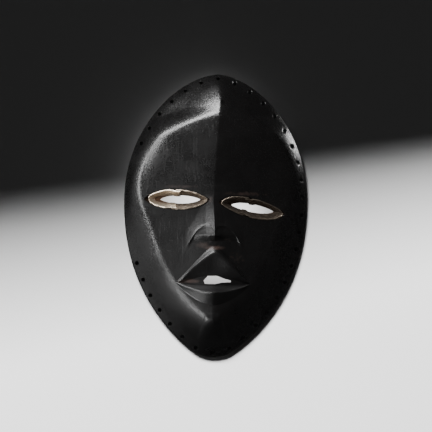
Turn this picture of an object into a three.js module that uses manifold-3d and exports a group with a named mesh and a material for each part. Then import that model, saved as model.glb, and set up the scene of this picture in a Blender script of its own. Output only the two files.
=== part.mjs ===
// A carved face mask of blackened wood, hollow behind, lying on its flat back rim. Bent metal
// strips line its two eye holes, and a row of small holes runs along the rim.
//
// Millimetres. X runs across the face to the viewer's right, Y from chin to crown, and Z out of
// the face. The origin is the middle of the box round the mask, on the plane it lies on.

import * as THREE from 'three';
import { mergeVertices } from 'three/addons/utils/BufferGeometryUtils.js';
import Module from 'manifold-3d';

const wasm = await Module();
wasm.setup();

// The mask as a whole
const maskHeight = 240;
const maskWidth = 155;
const faceRise = 50; // the plain of the cheeks above the back
const rimHeight = 10; // the upright edge all round
const edgeClearance = 3; // the rolled forehead stays this far above the upright edge
const rimLand = 7.5; // the flat ring that the mask lies on
const wallThickness = 11;

// The small holes along the rim
const rimHoleDiameter = 3;
const rimHoleInset = 4; // from the edge to a hole's middle
const rimHolePitch = 14.8;
const rimHoleSides = 6;
const rimHoleSamples = 720; // steps round the edge that the pitch is measured on

// The metal strips in the eye holes
const stripThickness = 0.8;
const stripDepth = 8; // how deep they reach below the face
const stripProud = 0.5; // how far they stand out of it
const stripLap = 4; // how far the ends of two strips cover each other
const stripGap = 0.35; // clearance between a strip and what it lies on

// How finely the forms are cut into facets: rings of them run round the mouth, the edges of the
// lips and the nostrils, and out to the edge of the mask
const spokes = 76;
const mouthRings = 2;
const innerLipRings = 3;
const outerLipRings = 3;
const philtrumRings = 2;
const nostrilRings = 2;
const faceRings = 16;
const hollowRings = 10;
const ringCrowding = 1.3; // more than 1 sets the rings closer together towards the edge
const eyeFacets = 36;
const stripFacets = 22;
const chipFacets = [10, 6];

// The carving keeps its proportions: heights are shares of the mask's height, breadths of its width
const tall = (share) => share * maskHeight;
const broad = (share) => share * maskWidth;

// Outline, measured from the line between the eyes
const crownRise = tall(0.444);
const chinDrop = maskHeight - crownRise;
const crownRoundness = 0.6;
const chinFullness = 2.2;
const chinRoundness = 0.74;
const chinOvershoot = tall(0.0125); // the flanks would meet this far below the blunt chin
const chinBlend = tall(0.02);
const boxMiddle = (crownRise - chinDrop) / 2;

// Slope of the sides, and how they turn over into the face
const sideSlope = 1.25;
const sideFlare = 2.8 / maskWidth;
const crownSlope = 3.2; // the sides of the crown rise steeper, and bow out
const crownBow = 8.8 / maskWidth;
const bowRun = 10;
const crownFrom = tall(-0.19);
const crownTo = tall(0.125);
const shoulderBlend = tall(0.034);
const cheekBlend = tall(0.09);
const hollowSlope = 2;
const hollowBlend = tall(0.06);

// The forehead rolls over towards its edge, most of all at the crown: two values each, for its
// sides and for the crown
const rollFrom = tall(0.06);
const rollTo = tall(0.25);
const rollStart = [tall(0.1), tall(0.174)];
const rollRadius = [tall(0.096), tall(0.111)];
const rollTopFrom = tall(0.22);
const rollTopTo = tall(0.325);
const rollSlope = 1.6; // the roll ends in this slope

// Forehead and face
const foreheadRise = tall(0.036);
const foreheadMiddle = tall(0.19);
const foreheadSpread = tall(0.112);
const faceFall = 0.06;
const foreheadFall = 0.12;
const crownFall = 0.1;
const faceRounding = 0.42 / maskWidth;
const foreheadRounding = 0.08 / maskWidth;
const ridgeSoftness = broad(0.005);
const ridgeLean = broad(0.034); // the ridge leans this far across, from crown to eyes
const ridgeAtEyes = broad(-0.01);
const ridgeFade = tall(0.1); // the lean dies out over this distance from the edge

// Nose
const noseTop = tall(0.025);
const noseTip = tall(-0.1125);
const bridgeRise = tall(0.007);
const bridgeHalf = broad(0.048);
const wingRise = tall(0.028);
const wingHalfTop = broad(0.05);
const wingHalfBase = broad(0.155);
const nostrilArch = tall(-0.0896);
const nostrilArchHalf = broad(0.045);
const nostrilReach = broad(0.097);
const nostrilDrop = tall(0.0667);
const noseTipDrop = tall(0.023);
const noseTipHalf = broad(0.029);
const nostrilLip = tall(-0.1235); // under this the nose falls away to its foot
const noseFoot = tall(-0.144);
const noseUnderside = tall(0.012);
const nostrilStep = 0.13; // share of the nose's height that the nostrils step down
const nostrilStepWidth = tall(0.005);
const wingCurve = 1.5;
const wingHollow = 1.1;

// Lips: the edges of three outlines on the middle line, one in the other, and how steeply each
// falls away to the corners of the mouth. The facets of the whole mask run out from their hub
const hub = tall(-0.2896);
const mouthHalf = broad(0.2085);
const borderTop = tall(-0.1596);
const borderTopFall = 1.16;
const borderFoot = tall(-0.3667);
const crestTop = tall(-0.1854);
const crestTopFall = 0.9;
const crestFoot = tall(-0.3217);
const crestReach = 0.94; // near the corners the crest stays this far inside the border
const slitHalf = broad(0.17);
const slitTop = tall(-0.2633);
const slitFoot = tall(-0.3);
const lipApexSoftness = broad(0.03);
const borderFootCurve = 1.8;
const slitTopCurve = 1.6;
const upperLipRise = tall(0.024);
const lowerLipRise = tall(0.038);
const mouthFloorRise = tall(-0.004);
const lipToNose = tall(0.03); // least width of the ring of facets between lips and nostrils
const philtrumShare = 0.48;

// Chin
const chinRise = tall(0.02);
const chinMiddle = tall(-0.42);
const chinSpread = tall(0.06);

// The mouth hole, seen from the front: blunt on the left, drawn out on the right
const mouthHole = [
  [-0.0555, -0.2825],
  [-0.0335, -0.2658],
  [0.018, -0.265],
  [0.045, -0.2721],
  [0.0923, -0.2804],
  [0.0923, -0.2871],
  [0.045, -0.2883],
  [0.007, -0.2942],
  [-0.0477, -0.2942],
].map(([across, up]) => [broad(across), tall(up)]);

// A small chip beside the top of the ridge
const chip = { x: broad(0.028), y: tall(0.338), half: [1.6, 4.2, 3] };

// No holes are drilled down the left temple between these heights
const bareRim = [tall(-0.19), tall(0.19)];

// The eyes. Seen from the front each is a lens with its points at nose and temple. The wood is cut
// as a funnel down to a ledge, and a slit goes on through. The ring of strips stands in the funnel.
const lensPoint = 1.45; // 1 is an ellipse, more draws the ends to points
const eyeHalfHeight = tall(0.0371);
const ledgeHalfHeight = tall(0.02);
const slitHalfHeight = tall(0.0142);
const funnelFlare = 1.3; // the cut widens on above the face at this rate
const cornerInset = 1.9; // the pointed ends draw in faster than the middle
const bendRounding = 2.5;
const lapRun = [1.3, 2.6]; // in laps from its end, where an over strip comes down off the other
const eyes = [
  {
    name: 'left',
    temple: -1,
    x: broad(-0.2095),
    y: tall(-0.001),
    tilt: THREE.MathUtils.degToRad(1.2),
    shear: -0.3,
    half: broad(0.176),
    ledgeHalf: broad(0.146),
    bend: broad(0.154),
    bendBack: broad(0.124),
    slitHalf: broad(0.108),
    slitShift: broad(0.018),
    topJoint: broad(0.037),
    bottomJoint: broad(-0.019),
  },
  {
    name: 'right',
    temple: 1,
    x: broad(0.201),
    y: tall(-0.0262),
    tilt: THREE.MathUtils.degToRad(-7.4),
    shear: -0.8,
    half: broad(0.179),
    ledgeHalf: broad(0.136),
    bend: broad(0.168),
    bendBack: broad(0.127),
    slitHalf: broad(0.115),
    slitShift: 0,
    topJoint: broad(-0.011),
    bottomJoint: broad(-0.105),
  },
];

const clamp = THREE.MathUtils.clamp;
const lerp = THREE.MathUtils.lerp;
const smoothstep = THREE.MathUtils.smoothstep;
const bell = (value, middle, spread) => Math.exp(-(((value - middle) / spread) ** 2) / 2);
const softAbs = (value, softness) => Math.hypot(value, softness) - softness;

function smoothMin(a, b, blend) {
  const near = Math.max(blend - Math.abs(a - b), 0) / blend;
  return Math.min(a, b) - (near * near * blend) / 4;
}

// Half the width of the outline at a height y above the line between the eyes
function halfWidth(y) {
  const above = clamp(y / crownRise, 0, 1);
  const below = clamp(-y / (chinDrop + chinOvershoot), 0, 1);
  const crown = (1 - above ** 2) ** crownRoundness;
  const chin = (1 - below ** chinFullness) ** chinRoundness;
  return (maskWidth / 2) * crown * chin;
}

// Distance from the hub to where a ray leaves a region
function reachWithin(angle, isInside) {
  const across = Math.cos(angle);
  const up = Math.sin(angle);
  let near = 0;
  let far = maskHeight;
  for (let step = 0; step < 40; step += 1) {
    const middle = (near + far) / 2;
    if (isInside(middle * across, hub + middle * up)) near = middle;
    else far = middle;
  }
  return near;
}

function outlineReach(angle) {
  const lowest = -chinDrop - chinOvershoot;
  const reach = reachWithin(angle, (x, y) => y < crownRise && y > lowest && Math.abs(x) < halfWidth(y));
  const up = Math.sin(angle);
  return up >= 0 ? reach : smoothMin(reach, (chinDrop + hub) / -up, chinBlend);
}

// The same reach, with how much of a step along the spoke leads straight away from the edge
function edgeAt(angle) {
  const step = 0.01;
  const reach = outlineReach(angle);
  const turn = (outlineReach(angle + step) - outlineReach(angle - step)) / (2 * step);
  return { reach, square: reach / Math.hypot(reach, turn) };
}

// The lower edge of the nose, and the three outlines of the lips
function noseEdge(x) {
  const out = Math.abs(x);
  const tipDip = noseTipDrop * Math.max(1 - out / noseTipHalf, 0) ** 2;
  const wingDip = nostrilDrop * (Math.max(out - nostrilArchHalf, 0) / nostrilReach) ** 2;
  return nostrilArch - tipDip - wingDip;
}

function isInLips(x, y) {
  const top = borderTop - borderTopFall * softAbs(x, lipApexSoftness);
  const foot = lerp(borderFoot, hub, Math.abs(x / mouthHalf) ** borderFootCurve);
  return y < top && y > foot;
}

function isInCrest(x, y) {
  const top = crestTop - crestTopFall * softAbs(x, lipApexSoftness);
  const foot = lerp(crestFoot, hub, (x / mouthHalf) ** 2);
  return y < top && y > foot;
}

function isInSlit(x, y) {
  const top = lerp(slitTop, hub, Math.abs(x / slitHalf) ** slitTopCurve);
  const foot = lerp(slitFoot, hub, (x / slitHalf) ** 2);
  return y < top && y > foot;
}

// Where a spoke meets the outlines, from the hub outwards
function stationsAt(angle) {
  const border = reachWithin(angle, isInLips);
  const crest = Math.min(reachWithin(angle, isInCrest), border * crestReach);
  const slit = Math.min(reachWithin(angle, isInSlit), crest * crestReach);
  const isUp = Math.sin(angle) > 0;
  const nostril = isUp ? reachWithin(angle, (x, y) => y < noseEdge(x)) : 0;
  const nose = Math.max(nostril, border + lipToNose);
  return { slit, crest, border, nose, ...edgeAt(angle) };
}

// How far the hand-cut ridge wanders off the middle line
function ridgeShift(y, inward) {
  const up = clamp(y / crownRise, 0, 1);
  const down = clamp(1 - y / noseTip, 0, 1);
  const shift = y > 0 ? ridgeAtEyes + ridgeLean * up : ridgeAtEyes * down;
  return shift * clamp(inward, 0, 1);
}

// Height of the plain face over the back, before nose and lips
function facePlain(x, y) {
  const forehead = bell(y, foreheadMiddle, foreheadSpread);
  const crown = smoothstep(y, rollTopFrom, rollTopTo);
  const fall = faceFall + foreheadFall * forehead + crownFall * crown;
  const rounding = faceRounding + foreheadRounding * forehead;
  const chin = chinRise * bell(y, chinMiddle, chinSpread) * bell(x, 0, chinSpread);
  return faceRise + foreheadRise * forehead + chin - fall * softAbs(x, ridgeSoftness) - rounding * x * x;
}

// How much of the nose's height is left under its edge: a small step, then the underside
function keptBelowNose(x, y) {
  const edge = noseEdge(x);
  const lip = Math.min(nostrilLip, edge);
  const foot = Math.min(noseFoot, edge - noseUnderside);
  const step = nostrilStep * smoothstep(edge - y, 0, nostrilStepWidth);
  return (1 - step) * clamp((y - foot) / (lip - foot), 0, 1);
}

function noseRise(x, y) {
  const down = clamp((noseTop - y) / (noseTop - noseTip), 0, 1);
  const out = Math.abs(x);
  const wingHalf = lerp(wingHalfTop, wingHalfBase, down ** wingCurve);
  const bridge = bridgeRise * down * Math.max(1 - out / bridgeHalf, 0);
  const wing = wingRise * down * Math.max(1 - out / wingHalf, 0) ** wingHollow;
  return (bridge + wing) * keptBelowNose(x, y);
}

// Height of the lips over the plain face: straight runs between their outlines
function lipRise(radius, { angle, slit, crest, border }) {
  const full = Math.sqrt(Math.abs(Math.sin(angle)));
  const crestRise = full * (Math.sin(angle) > 0 ? upperLipRise : lowerLipRise);
  const floor = mouthFloorRise;
  if (radius <= slit) return floor;
  if (radius <= crest) return lerp(floor, Math.max(crestRise, floor), (radius - slit) / (crest - slit));
  if (radius <= border) return lerp(Math.max(crestRise, floor), 0, (radius - crest) / (border - crest));
  return 0;
}

// Drop of the roll at a place lying short of its start: an arc, then a straight slope
function rollDrop(short, radius) {
  const curved = Math.min(short, rollSlope * radius);
  return curved ** 2 / (2 * radius) + rollSlope * (short - curved);
}

// The face with its forehead rolled over towards the edge
function rolledFace(fromEdge, x, y) {
  const top = smoothstep(y, rollTopFrom, rollTopTo);
  const start = lerp(...rollStart, top);
  const radius = lerp(...rollRadius, top);
  const face = facePlain(x, y);
  const room = face - rimHeight - edgeClearance;
  const share = Math.min(smoothstep(y, rollFrom, rollTo), room / rollDrop(start, radius));
  return face - share * rollDrop(Math.max(start - fromEdge, 0), radius);
}

// The outside, at a place given by its distance from the edge and its x and y
function plainSurface(fromEdge, x, y) {
  const crown = smoothstep(y, crownFrom, crownTo);
  const flank = sideSlope * fromEdge + sideFlare * fromEdge ** 2;
  const bow = Math.min(fromEdge, bowRun);
  const brow = crownSlope * fromEdge - crownBow * bow * (2 * fromEdge - bow);
  const side = rimHeight + lerp(flank, brow, crown);
  const blend = lerp(cheekBlend, shoulderBlend, crown);
  return Math.max(smoothMin(side, rolledFace(fromEdge, x, y), blend), rimHeight);
}

// The inside of the hollow
function hollowSurface(fromEdge, x, y) {
  const wall = hollowSlope * (fromEdge - rimLand);
  return Math.max(smoothMin(wall, rolledFace(fromEdge, x, y) - wallThickness, hollowBlend), 0);
}

// The plain surface over any x and y of the mask
function plainHeight(x, y) {
  const { reach, square } = edgeAt(Math.atan2(y - hub, x));
  const fromEdge = (reach - Math.hypot(x, y - hub)) * square;
  return plainSurface(fromEdge, x, y);
}

// Every form below is a stock shape whose points are moved to their places
function reshape(geometry, place) {
  const position = geometry.attributes.position;
  const point = new THREE.Vector3();
  for (let index = 0; index < position.count; index += 1) {
    point.fromBufferAttribute(position, index);
    position.setXYZ(index, ...place(point, index));
  }
  geometry.deleteAttribute('normal');
  geometry.deleteAttribute('uv');
  return mergeVertices(geometry, 1e-4);
}

function toSolid(geometry) {
  const vertProperties = new Float32Array(geometry.attributes.position.array);
  const triVerts = new Uint32Array(geometry.index.array);
  return new wasm.Manifold(new wasm.Mesh({ numProp: 3, vertProperties, triVerts }));
}

function toGeometry(solid) {
  const mesh = solid.getMesh();
  const geometry = new THREE.BufferGeometry();
  geometry.setAttribute('position', new THREE.BufferAttribute(mesh.vertProperties, 3));
  geometry.setIndex(new THREE.BufferAttribute(mesh.triVerts, 1));
  return geometry;
}

// Distances of the front's rings along a spoke
function frontRadii({ slit, crest, border, nose, reach }) {
  const philtrum = lerp(border, nose, philtrumShare);
  const runs = [
    [0, slit, mouthRings],
    [slit, crest, innerLipRings],
    [crest, border, outerLipRings],
    [border, philtrum, philtrumRings],
    [philtrum, nose, nostrilRings],
  ];
  const radii = [0];
  for (const [from, to, count] of runs) {
    for (let ring = 1; ring <= count; ring += 1) radii.push(lerp(from, to, ring / count));
  }
  for (let ring = 1; ring <= faceRings; ring += 1) {
    radii.push(lerp(reach, nose, (1 - ring / faceRings) ** ringCrowding));
  }
  return radii;
}

// The mask before anything is cut through it: a ball whose upper rows are drawn out into the face,
// and whose lower rows are the upright edge, the flat rim and the hollow
function maskBlank() {
  const spokeLines = [];
  for (let spoke = 0; spoke < spokes; spoke += 1) {
    const angle = Math.PI / 2 + (2 * Math.PI * spoke) / spokes;
    const line = { angle, ...stationsAt(angle) };
    spokeLines.push({ ...line, radii: frontRadii(line) });
  }
  const frontRows = spokeLines[0].radii.length - 1;
  const rows = frontRows + hollowRings + 2;

  const pointAt = (line, row) => {
    const { angle, reach, square, radii } = line;
    const isFront = row <= frontRows;
    const hollowRow = row - frontRows - 2;
    let radius = isFront ? radii[row] : reach;
    if (hollowRow >= 0) {
      radius = (reach - rimLand / square) * (1 - (hollowRow / hollowRings) ** ringCrowding);
    }
    const x = radius * Math.cos(angle);
    const y = hub + radius * Math.sin(angle);
    const fromEdge = (reach - radius) * square;
    let z = 0;
    if (isFront) z = plainSurface(fromEdge, x, y) + noseRise(x, y) + lipRise(radius, line);
    if (hollowRow > 0) z = hollowSurface(fromEdge, x, y);
    return [x + ridgeShift(y, fromEdge / ridgeFade), y - boxMiddle, z];
  };

  const ball = new THREE.SphereGeometry(1, spokes, rows);
  return reshape(ball, (_, index) => {
    const row = Math.floor(index / (spokes + 1));
    const spoke = index % (spokes + 1);
    return pointAt(spokeLines[spoke % spokes], row);
  });
}

// A point of an eye's lens, drawn out to a half length and a half height. A strip's lens turns
// back at its bend, short of the temple corner
function lensAt(eye, angle, half, halfHeight, { shift = 0, bend = maskWidth } = {}) {
  const up = Math.sin(angle);
  const outward = eye.temple * half * Math.cos(angle);
  const localY = halfHeight * Math.sign(up) * Math.abs(up) ** lensPoint;
  const localX = shift + eye.temple * smoothMin(outward, bend, bendRounding) + eye.shear * localY;
  const x = eye.x + localX * Math.cos(eye.tilt) - localY * Math.sin(eye.tilt);
  const y = eye.y + localX * Math.sin(eye.tilt) + localY * Math.cos(eye.tilt);
  return [x, y];
}

// Heights of the wood under an eye's strips, at an angle round the lens: at the rim, and at the
// foot of the funnel
function eyeHeights(eye, angle) {
  const rim = plainHeight(...lensAt(eye, angle, eye.half, eyeHalfHeight));
  const ledge = plainHeight(...lensAt(eye, angle, eye.ledgeHalf, ledgeHalfHeight));
  return { rim, foot: ledge - stripDepth };
}

// What is cut out of the wood for an eye: a funnel whose wall runs from its foot up through the
// rim and on above it, and the slit under it
function eyeCut(eye) {
  const rows = [
    { spread: funnelFlare, lift: faceRise },
    { spread: funnelFlare, lift: 0 },
    { spread: 0, lift: 0 },
    { depth: stripDepth },
    { depth: wallThickness + faceRise },
  ];
  const tube = new THREE.CylinderGeometry(1, 1, rows.length - 1, eyeFacets, rows.length - 1);
  return reshape(tube, (point) => {
    const { spread, lift, depth } = rows[Math.round((rows.length - 1) / 2 - point.y)];
    const radius = Math.hypot(point.x, point.z);
    const angle = Math.atan2(-point.z, point.x);
    if (depth) {
      const halves = [radius * eye.slitHalf, radius * slitHalfHeight];
      const slit = lensAt(eye, angle, ...halves, { shift: eye.slitShift });
      return [slit[0], slit[1] - boxMiddle, plainHeight(...slit) - depth];
    }
    const half = lerp(eye.ledgeHalf, eye.half, spread);
    const halfHeight = lerp(ledgeHalfHeight, eyeHalfHeight, spread);
    const [x, y] = lensAt(eye, angle, radius * half, radius * halfHeight);
    const { rim, foot } = eyeHeights(eye, angle);
    return [x, y - boxMiddle, lerp(foot, rim, spread) + lift];
  });
}

// A strip of an eye's ring, from one angle round to another. The over strip lifts at its ends,
// where it lies on the ends of the under strip
function eyeStrip(eye, from, to, isOver) {
  const lapTurn = stripLap / eye.half;
  const bar = new THREE.BoxGeometry(1, 1, 1, stripFacets, 1, 1);
  return reshape(bar, (point) => {
    const angle = lerp(from, to, point.x + 0.5);
    const fromEnd = Math.min(angle - from, to - angle);
    const lift = isOver ? 1 - smoothstep(fromEnd, lapTurn * lapRun[0], lapTurn * lapRun[1]) : 0;
    const inner = point.y < 0 ? stripThickness : 0;
    const inset = stripGap + inner + lift * (stripThickness + stripGap);
    const sunk = point.z + 0.5;
    const half = lerp(eye.half, eye.ledgeHalf, sunk) - cornerInset * inset;
    const halfHeight = lerp(eyeHalfHeight, ledgeHalfHeight, sunk) - inset;
    const bend = lerp(eye.bend, eye.bendBack, sunk) - inner;
    const [x, y] = lensAt(eye, angle, half, halfHeight, { bend });
    const z = sunk ? plainHeight(x, y) - stripDepth + stripGap : eyeHeights(eye, angle).rim + stripProud;
    return [x, y - boxMiddle, z];
  });
}

// Where the strips of an eye end and begin, as angles round the lens from its right point
function stripSpans(eye) {
  const top = Math.acos(eye.topJoint / eye.half);
  const bottom = 2 * Math.PI - Math.acos(eye.bottomJoint / eye.half);
  const lap = stripLap / eye.half;
  const turn = 2 * Math.PI;
  if (eye.temple < 0) return { over: [top, bottom], under: [bottom - lap, top + lap + turn] };
  return { over: [bottom - turn, top], under: [top - lap, bottom + lap] };
}

function mouthCut() {
  const outline = new THREE.Shape(mouthHole.map(([x, y]) => new THREE.Vector2(x, y - boxMiddle)));
  const depth = faceRise * 2;
  const block = new THREE.ExtrudeGeometry(outline, { depth, bevelEnabled: false });
  return reshape(block, (point) => [point.x, point.y, point.z]);
}

function chipCut() {
  const ball = new THREE.SphereGeometry(1, ...chipFacets);
  const [halfX, halfY, halfZ] = chip.half;
  const z = plainHeight(chip.x, chip.y);
  return reshape(ball, (point) => [
    chip.x + point.x * halfX,
    chip.y - boxMiddle + point.y * halfY,
    z + point.z * halfZ,
  ]);
}

// Middles of the rim holes: evenly spaced along the edge, as near to the pitch as it divides,
// with none down the left temple
function rimHoleMiddles() {
  const samples = rimHoleSamples;
  const path = [];
  for (let sample = 0; sample <= samples; sample += 1) {
    const angle = Math.PI / 2 + (2 * Math.PI * sample) / samples;
    const { reach, square } = edgeAt(angle);
    const radius = reach - rimHoleInset / square;
    path.push(new THREE.Vector2(radius * Math.cos(angle), hub + radius * Math.sin(angle) - boxMiddle));
  }
  const travelled = [0];
  for (let sample = 1; sample <= samples; sample += 1) {
    travelled.push(travelled[sample - 1] + path[sample].distanceTo(path[sample - 1]));
  }
  const length = travelled[samples];
  const count = Math.round(length / rimHolePitch);
  const middles = [];
  for (let hole = 0; hole < count; hole += 1) {
    const target = (length * hole) / count;
    const next = Math.max(travelled.findIndex((distance) => distance >= target), 1);
    const share = (target - travelled[next - 1]) / (travelled[next] - travelled[next - 1]);
    const middle = path[next - 1].clone().lerp(path[next], share);
    const rise = middle.y + boxMiddle;
    const isBare = middle.x < 0 && rise > bareRim[0] && rise < bareRim[1];
    if (!isBare) middles.push(middle);
  }
  return middles;
}

function rimHoleCuts() {
  const radius = rimHoleDiameter / 2;
  const height = 2 * faceRise;
  return rimHoleMiddles().map((middle) => {
    const drill = new THREE.CylinderGeometry(radius, radius, height, rimHoleSides);
    return reshape(drill, (point) => [middle.x + point.x, middle.y - point.z, point.y]);
  });
}

function maskBody() {
  const cuts = [...eyes.map(eyeCut), mouthCut(), chipCut(), ...rimHoleCuts()];
  const tools = wasm.Manifold.union(cuts.map(toSolid));
  return toGeometry(toSolid(maskBlank()).subtract(tools));
}

const blackenedWood = { color: 0x17130f, roughness: 0.35, metalness: 0 };
const agedBrass = { color: 0x9a8664, roughness: 0.45, metalness: 0.9 };

const mask = new THREE.Group();

function addPiece(name, geometry, finish) {
  geometry.computeVertexNormals();
  const piece = new THREE.Mesh(geometry, new THREE.MeshStandardMaterial(finish));
  piece.name = name;
  mask.add(piece);
}

addPiece('mask_body', maskBody(), blackenedWood);
for (const eye of eyes) {
  const { over, under } = stripSpans(eye);
  addPiece(`${eye.name}_eye_temple_strip`, eyeStrip(eye, ...over, true), agedBrass);
  addPiece(`${eye.name}_eye_nose_strip`, eyeStrip(eye, ...under, false), agedBrass);
}

export default mask;
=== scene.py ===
"""A carved face mask of blackened wood, its eye holes lined with bent metal strips.

Laid out as an add-on and run as a script. The carving repeats the forms of the fixed frame at a
finer grain, in metres, and adds what a knife, a drill and long handling leave on them.
"""

import math

import bmesh
import bpy
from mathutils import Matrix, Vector, noise


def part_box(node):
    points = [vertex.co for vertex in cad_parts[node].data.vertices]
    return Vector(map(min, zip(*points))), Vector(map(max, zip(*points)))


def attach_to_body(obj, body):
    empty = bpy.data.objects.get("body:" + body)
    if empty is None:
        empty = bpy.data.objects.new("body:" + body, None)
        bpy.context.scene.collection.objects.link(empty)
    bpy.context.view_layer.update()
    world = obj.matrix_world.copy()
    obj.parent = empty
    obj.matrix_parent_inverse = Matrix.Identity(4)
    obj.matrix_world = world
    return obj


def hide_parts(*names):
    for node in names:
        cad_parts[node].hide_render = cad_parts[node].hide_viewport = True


bl_info = {
    "name": "Carved face mask",
    "version": (1, 0, 0),
    "blender": (4, 5, 0),
    "location": "View3D > Sidebar > Mask",
    "description": "Carves the wooden mask, bends its eye strips and sets the studio",
    "category": "Add Mesh",
}

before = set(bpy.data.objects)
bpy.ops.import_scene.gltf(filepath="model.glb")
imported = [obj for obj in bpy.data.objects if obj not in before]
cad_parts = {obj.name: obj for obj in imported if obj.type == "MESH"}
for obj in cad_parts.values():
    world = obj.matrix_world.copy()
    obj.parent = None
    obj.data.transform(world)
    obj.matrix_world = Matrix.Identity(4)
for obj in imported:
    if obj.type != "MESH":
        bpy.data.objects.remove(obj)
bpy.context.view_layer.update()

MM = 0.001
WOOD_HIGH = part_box("mask_body")[1]
HEIGHT = 2 * WOOD_HIGH.y
WIDTH = 2 * WOOD_HIGH.x


def tall(share):
    """A share of the mask's height"""
    return share * HEIGHT


def broad(share):
    """A share of the mask's width"""
    return share * WIDTH


# Outline, measured from the line between the eyes
CROWN_RISE = tall(0.444)
CHIN_DROP = HEIGHT - CROWN_RISE
CROWN_ROUNDNESS = 0.6
CHIN_FULLNESS = 2.2
CHIN_ROUNDNESS = 0.74
CHIN_OVERSHOOT = tall(0.0125)
CHIN_BLEND = tall(0.02)
BOX_MIDDLE = (CROWN_RISE - CHIN_DROP) / 2

# Relief of the plain face
FACE_RISE = 50 * MM
RIM_HEIGHT = 10 * MM
EDGE_CLEARANCE = 3 * MM
RIM_LAND = 7.5 * MM
WALL = 11 * MM
SIDE_SLOPE = 1.25
SIDE_FLARE = 2.8 / WIDTH
CROWN_SLOPE = 3.2
CROWN_BOW = 8.8 / WIDTH
BOW_RUN = 10 * MM
CROWN_FROM = tall(-0.19)
CROWN_TO = tall(0.125)
SHOULDER_BLEND = tall(0.034)
CHEEK_BLEND = tall(0.09)
ROLL_FROM = tall(0.06)
ROLL_TO = tall(0.25)
ROLL_START = (tall(0.1), tall(0.174))
ROLL_RADIUS = (tall(0.096), tall(0.111))
ROLL_TOP_FROM = tall(0.22)
ROLL_TOP_TO = tall(0.325)
ROLL_SLOPE = 1.6
HOLLOW_SLOPE = 2
HOLLOW_BLEND = tall(0.06)
HOLLOW_EDGE_BLEND = 2 * MM
FOREHEAD_RISE = tall(0.036)
FOREHEAD_MIDDLE = tall(0.19)
FOREHEAD_SPREAD = tall(0.112)
FACE_FALL = 0.06
FOREHEAD_FALL = 0.12
CROWN_FALL = 0.1
FACE_ROUNDING = 0.42 / WIDTH
FOREHEAD_ROUNDING = 0.08 / WIDTH
RIDGE_SOFTNESS = broad(0.005)
RIDGE_LEAN = broad(0.034)
RIDGE_AT_EYES = broad(-0.01)
RIDGE_FADE = tall(0.1)
CHIN_RISE = tall(0.02)
CHIN_MIDDLE = tall(-0.42)
CHIN_SPREAD = tall(0.06)

# Nose
NOSE_TOP = tall(0.025)
NOSE_TIP = tall(-0.1125)
BRIDGE_RISE = tall(0.007)
BRIDGE_HALF = broad(0.048)
WING_RISE = tall(0.028)
WING_HALF_TOP = broad(0.05)
WING_HALF_BASE = broad(0.155)
WING_CURVE = 1.5
WING_HOLLOW = 1.1
NOSTRIL_ARCH = tall(-0.0896)
NOSTRIL_ARCH_HALF = broad(0.045)
NOSTRIL_REACH = broad(0.097)
NOSTRIL_DROP = tall(0.0667)
NOSE_TIP_DROP = tall(0.023)
NOSE_TIP_HALF = broad(0.029)
NOSTRIL_LIP = tall(-0.1235)
NOSE_FOOT = tall(-0.144)
NOSE_UNDERSIDE = tall(0.012)
NOSTRIL_STEP = 0.13
NOSTRIL_STEP_WIDTH = 1.2 * MM
NOSTRIL_BEAD = 0.4 * MM
NOSTRIL_BEAD_SPREAD = 0.8 * MM
NOSTRIL_BEAD_RUN = 2 * MM

# Lips, round the hub that the carving's rings run out from
HUB = tall(-0.2896)
MOUTH_HALF = broad(0.2085)
BORDER_TOP = tall(-0.1596)
BORDER_TOP_FALL = 1.16
BORDER_FOOT = tall(-0.3667)
BORDER_FOOT_CURVE = 1.8
CREST_TOP = tall(-0.1854)
CREST_TOP_FALL = 0.9
CREST_FOOT = tall(-0.3217)
CREST_REACH = 0.94
CREST_ROUNDING = 1.6 * MM
SLIT_HALF = broad(0.17)
SLIT_TOP = tall(-0.2633)
SLIT_TOP_CURVE = 1.6
SLIT_FOOT = tall(-0.3)
LIP_APEX_SOFTNESS = broad(0.03)
UPPER_LIP_RISE = tall(0.024)
LOWER_LIP_RISE = tall(0.038)
MOUTH_FLOOR_RISE = tall(-0.004)
LIP_TO_NOSE = tall(0.03)
LIP_BEAD = 0.45 * MM
LIP_BEAD_AT = 0.12
LIP_BEAD_SPREAD = 0.09
LIP_BEAD_GAIN = 4
PHILTRUM_SHARE = 0.48

# Rings of the fine carving, from the hub out over the edge and into the hollow
FRONT_RUNS = (8, 14, 10, 8, 8)
FACE_RINGS = 104
EDGE_RINGS = 5
ARC_RINGS = 3
LAND_RINGS = 5
HOLLOW_RINGS = 40
SPOKE_CROWDING = 0.55
RING_CROWDING = 1.3
OUTLINE_STEPS = 1440

# Marks of the tools on the face and in the hollow
BROAD_MARK = 21 * MM
FINE_MARK = 6 * MM
FINE_MARK_STRETCH = 0.6
FINE_MARK_SHARE = 0.25
FINE_MARK_LAYER = 1.5
MARKS_FADE = 4 * MM
SCALLOP_WIDE = 11 * MM
SCALLOP_LONG = 16 * MM
SCALLOP_FULLNESS = 1.3
SCALLOPS_FROM = 9 * MM
SCALLOPS_TO = 16 * MM
RAW_EDGE = 1.5 * MM
RAW_HALF_DEPTH = 2 * MM
SHARP_ANGLE = 40

# The mouth hole, blunt on the left and drawn out on the right
MOUTH_HOLE = [
    (broad(across), tall(up))
    for across, up in (
        (-0.0555, -0.2825),
        (-0.0335, -0.2658),
        (0.018, -0.265),
        (0.045, -0.2721),
        (0.0923, -0.2804),
        (0.0923, -0.2871),
        (0.045, -0.2883),
        (0.007, -0.2942),
        (-0.0477, -0.2942),
    )
]
MOUTH_HOLE_ROUNDING = 0.5 * MM

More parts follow.
